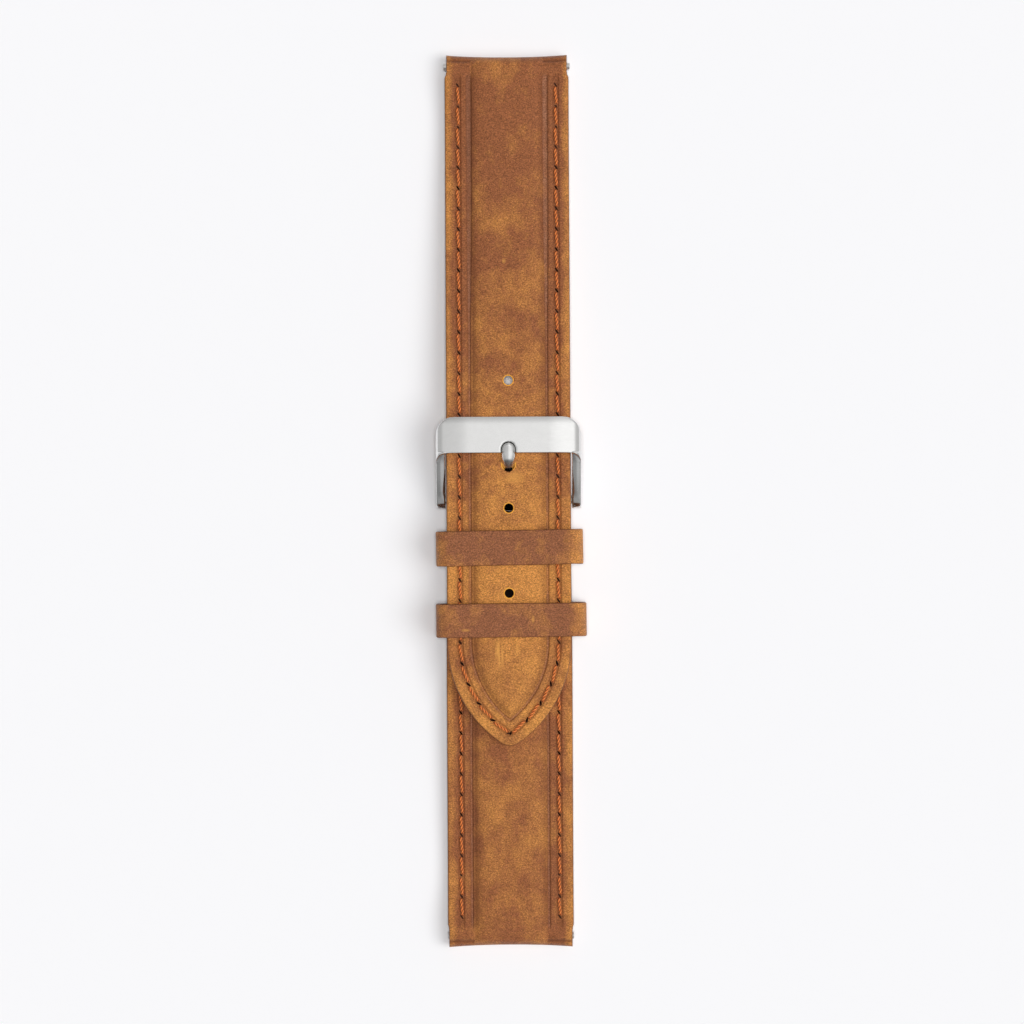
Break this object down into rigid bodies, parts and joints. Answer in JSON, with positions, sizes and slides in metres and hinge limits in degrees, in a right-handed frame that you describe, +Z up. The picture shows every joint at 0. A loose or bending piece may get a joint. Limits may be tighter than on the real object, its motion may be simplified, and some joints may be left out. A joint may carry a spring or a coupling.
{
  "type": "watch strap",
  "caption": "Padded tan leather watch strap with orange stitching, closed on its pin buckle, with a fixed and a sliding keeper and quick spring bars at both lug ends.",
  "frame": {"origin": "centre of the bounding box on the table under the strap", "axes": "+Y along the strap from the short piece's lug end to the long piece's lug end, +Z up out of the face, +X across"},
  "size_m": [0.0242, 0.144, 0.0088],
  "materials": {
    "tan_leather": "pull-up tan calf, pressed creases, painted edges",
    "lining_leather": "smooth natural calf",
    "stiffener_board": "bonded leather board, hidden",
    "padding_felt": "pressed felt, hidden",
    "waxed_thread": "waxed polyester, orange",
    "polished_steel": "polished stainless steel",
    "spring_bar_steel": "turned stainless steel"
  },
  "bodies": {
    "strap_short": {"short_upper_leather": "tan_leather", "short_lining": "lining_leather", "short_stiffener": "stiffener_board", "short_padding": "padding_felt", "short_stitching_left": "waxed_thread", "short_stitching_right": "waxed_thread", "fixed_keeper": "tan_leather", "tip_upper_leather": "tan_leather", "tip_lining": "lining_leather", "tip_stiffener": "stiffener_board", "tip_padding": "padding_felt", "tip_stitching_left": "waxed_thread", "tip_stitching_right": "waxed_thread", "buckle_bar_tube": "spring_bar_steel", "buckle_bar_spring": "spring_bar_steel", "short_lug_bar_tube": "spring_bar_steel", "short_lug_bar_spring": "spring_bar_steel"},
    "strap_long": {"long_upper_leather": "tan_leather", "long_lining": "lining_leather", "long_stiffener": "stiffener_board", "long_padding": "padding_felt", "long_stitching_left": "waxed_thread", "long_stitching_right": "waxed_thread", "long_lug_bar_tube": "spring_bar_steel", "long_lug_bar_spring": "spring_bar_steel"},
    "buckle": {"buckle_frame": "polished_steel"},
    "tongue": {"buckle_tongue": "polished_steel"},
    "keeper": {"free_keeper": "tan_leather"},
    "long_lug_bar_left": {"long_lug_bar_plunger_left": "spring_bar_steel"},
    "long_lug_bar_right": {"long_lug_bar_plunger_right": "spring_bar_steel"},
    "short_lug_bar_left": {"short_lug_bar_plunger_left": "spring_bar_steel"},
    "short_lug_bar_right": {"short_lug_bar_plunger_right": "spring_bar_steel"},
    "buckle_bar_left": {"buckle_bar_plunger_left": "spring_bar_steel"},
    "buckle_bar_right": {"buckle_bar_plunger_right": "spring_bar_steel"}
  },
  "joints": [
    {"name": "strap_swing", "type": "hinge", "parent": "strap_short", "child": "strap_long", "pos_m": [0, 0.0002, 0.00304], "axis": [-1, 0, 0], "range_deg": [0, 40]},
    {"name": "buckle_swing", "type": "hinge", "parent": "strap_short", "child": "buckle", "pos_m": [0, 0.0002, 0.00304], "axis": [-1, 0, 0], "range_deg": [0, 40]},
    {"name": "tongue_lift", "type": "hinge", "parent": "buckle", "child": "tongue", "pos_m": [0, 0.0002, 0.00304], "axis": [1, 0, 0], "range_deg": [0, 3.3]},
    {"name": "keeper_slide", "type": "slide", "parent": "strap_short", "child": "keeper", "axis": [0, 1, 0], "range_m": [-0.006, 0.0058]},
    {"name": "long_lug_bar_left_press", "type": "slide", "parent": "strap_long", "child": "long_lug_bar_left", "axis": [1, 0, 0], "range_m": [0, 0.0011], "stiffness_N_per_m": 1500, "springref_m": -0.001, "deforming": ["long_lug_bar_spring"]},
    {"name": "long_lug_bar_right_press", "type": "slide", "parent": "strap_long", "child": "long_lug_bar_right", "axis": [-1, 0, 0], "range_m": [0, 0.0011], "stiffness_N_per_m": 1500, "springref_m": -0.001, "deforming": ["long_lug_bar_spring"]},
    {"name": "short_lug_bar_left_press", "type": "slide", "parent": "strap_short", "child": "short_lug_bar_left", "axis": [1, 0, 0], "range_m": [0, 0.0011], "stiffness_N_per_m": 1500, "springref_m": -0.001, "deforming": ["short_lug_bar_spring"]},
    {"name": "short_lug_bar_right_press", "type": "slide", "parent": "strap_short", "child": "short_lug_bar_right", "axis": [-1, 0, 0], "range_m": [0, 0.0011], "stiffness_N_per_m": 1500, "springref_m": -0.001, "deforming": ["short_lug_bar_spring"]},
    {"name": "buckle_bar_left_press", "type": "slide", "parent": "strap_short", "child": "buckle_bar_left", "axis": [1, 0, 0], "range_m": [0, 0.0013], "stiffness_N_per_m": 1500, "springref_m": -0.001, "deforming": ["buckle_bar_spring"]},
    {"name": "buckle_bar_right_press", "type": "slide", "parent": "strap_short", "child": "buckle_bar_right", "axis": [-1, 0, 0], "range_m": [0, 0.0013], "stiffness_N_per_m": 1500, "springref_m": -0.001, "deforming": ["buckle_bar_spring"]}
  ],
  "couplings": [
    {"joint": "buckle_swing", "follows": "strap_swing", "ratio": 1}
  ]
}
